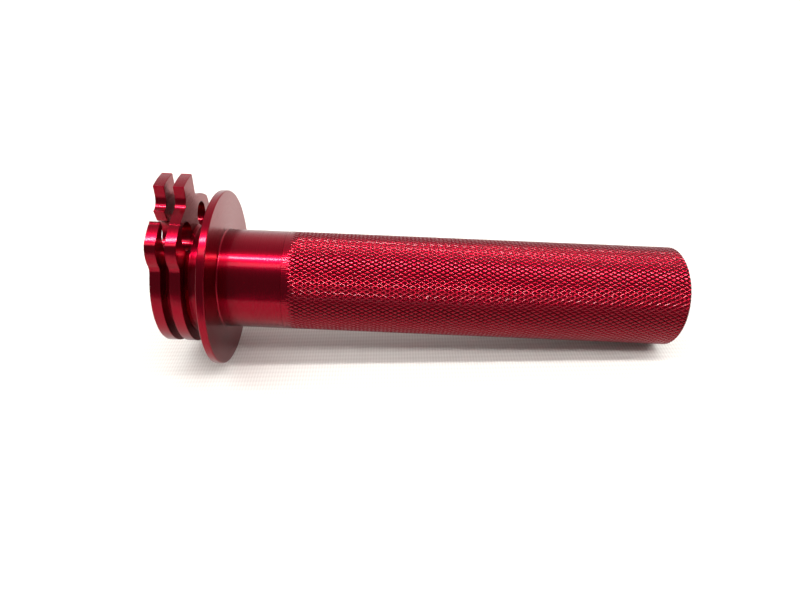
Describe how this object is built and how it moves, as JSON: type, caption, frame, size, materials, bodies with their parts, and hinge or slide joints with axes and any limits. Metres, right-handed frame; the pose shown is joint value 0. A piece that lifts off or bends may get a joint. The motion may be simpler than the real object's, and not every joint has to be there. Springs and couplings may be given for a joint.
{
  "type": "throttle grip",
  "caption": "Knurled metal throttle tube with a lobed two-plate cable reel and flange at one end and a sealed ball bearing at the other.",
  "frame": {"origin": "on the tube's axis, in the face of the flange that the rubber grip butts against", "axes": "+X along the tube towards the handlebar's outer end; +Z through the reel's stop horn, up; +Y to the side of the narrow cable seat"},
  "size_m": [0.1429, 0.05, 0.0546],
  "materials": {
    "red_anodised": "turned and milled, deep red anodised, satin gloss",
    "red_knurl": "fine diamond knurl, deep red anodised",
    "bush_polymer": "machined low-friction polymer",
    "bearing_steel": "ground bearing steel",
    "ball_steel": "polished bearing balls",
    "cage_brass": "machined brass",
    "seal_rubber": "moulded nitrile rubber",
    "clip_steel": "phosphated spring steel",
    "plain_aluminium": "turned aluminium"
  },
  "bodies": {
    "throttle_tube": {"cable_reel": "red_anodised", "grip_tube": "red_knurl", "reel_bush": "bush_polymer", "bearing_outer_ring": "bearing_steel", "inboard_seal": "seal_rubber", "outboard_seal": "seal_rubber", "circlip": "clip_steel"},
    "bar_end": {"bearing_inner_ring": "bearing_steel", "bar_end_spacer": "plain_aluminium"},
    "cage": {"bearing_cage": "cage_brass", "ball_01": "ball_steel", "ball_02": "ball_steel", "ball_03": "ball_steel", "ball_04": "ball_steel", "ball_05": "ball_steel", "ball_06": "ball_steel", "ball_07": "ball_steel", "ball_08": "ball_steel", "ball_09": "ball_steel", "ball_10": "ball_steel", "ball_11": "ball_steel", "ball_12": "ball_steel", "ball_13": "ball_steel", "ball_14": "ball_steel"}
  },
  "joints": [
    {"name": "bar_end_turn", "type": "hinge", "parent": "throttle_tube", "child": "bar_end", "pos_m": [0.12215, 0, 0], "axis": [1, 0, 0], "continuous": true},
    {"name": "cage_turn", "type": "hinge", "parent": "throttle_tube", "child": "cage", "pos_m": [0.12215, 0, 0], "axis": [1, 0, 0], "continuous": true}
  ],
  "couplings": [
    {"joint": "cage_turn", "follows": "bar_end_turn", "ratio": 0.43897}
  ]
}
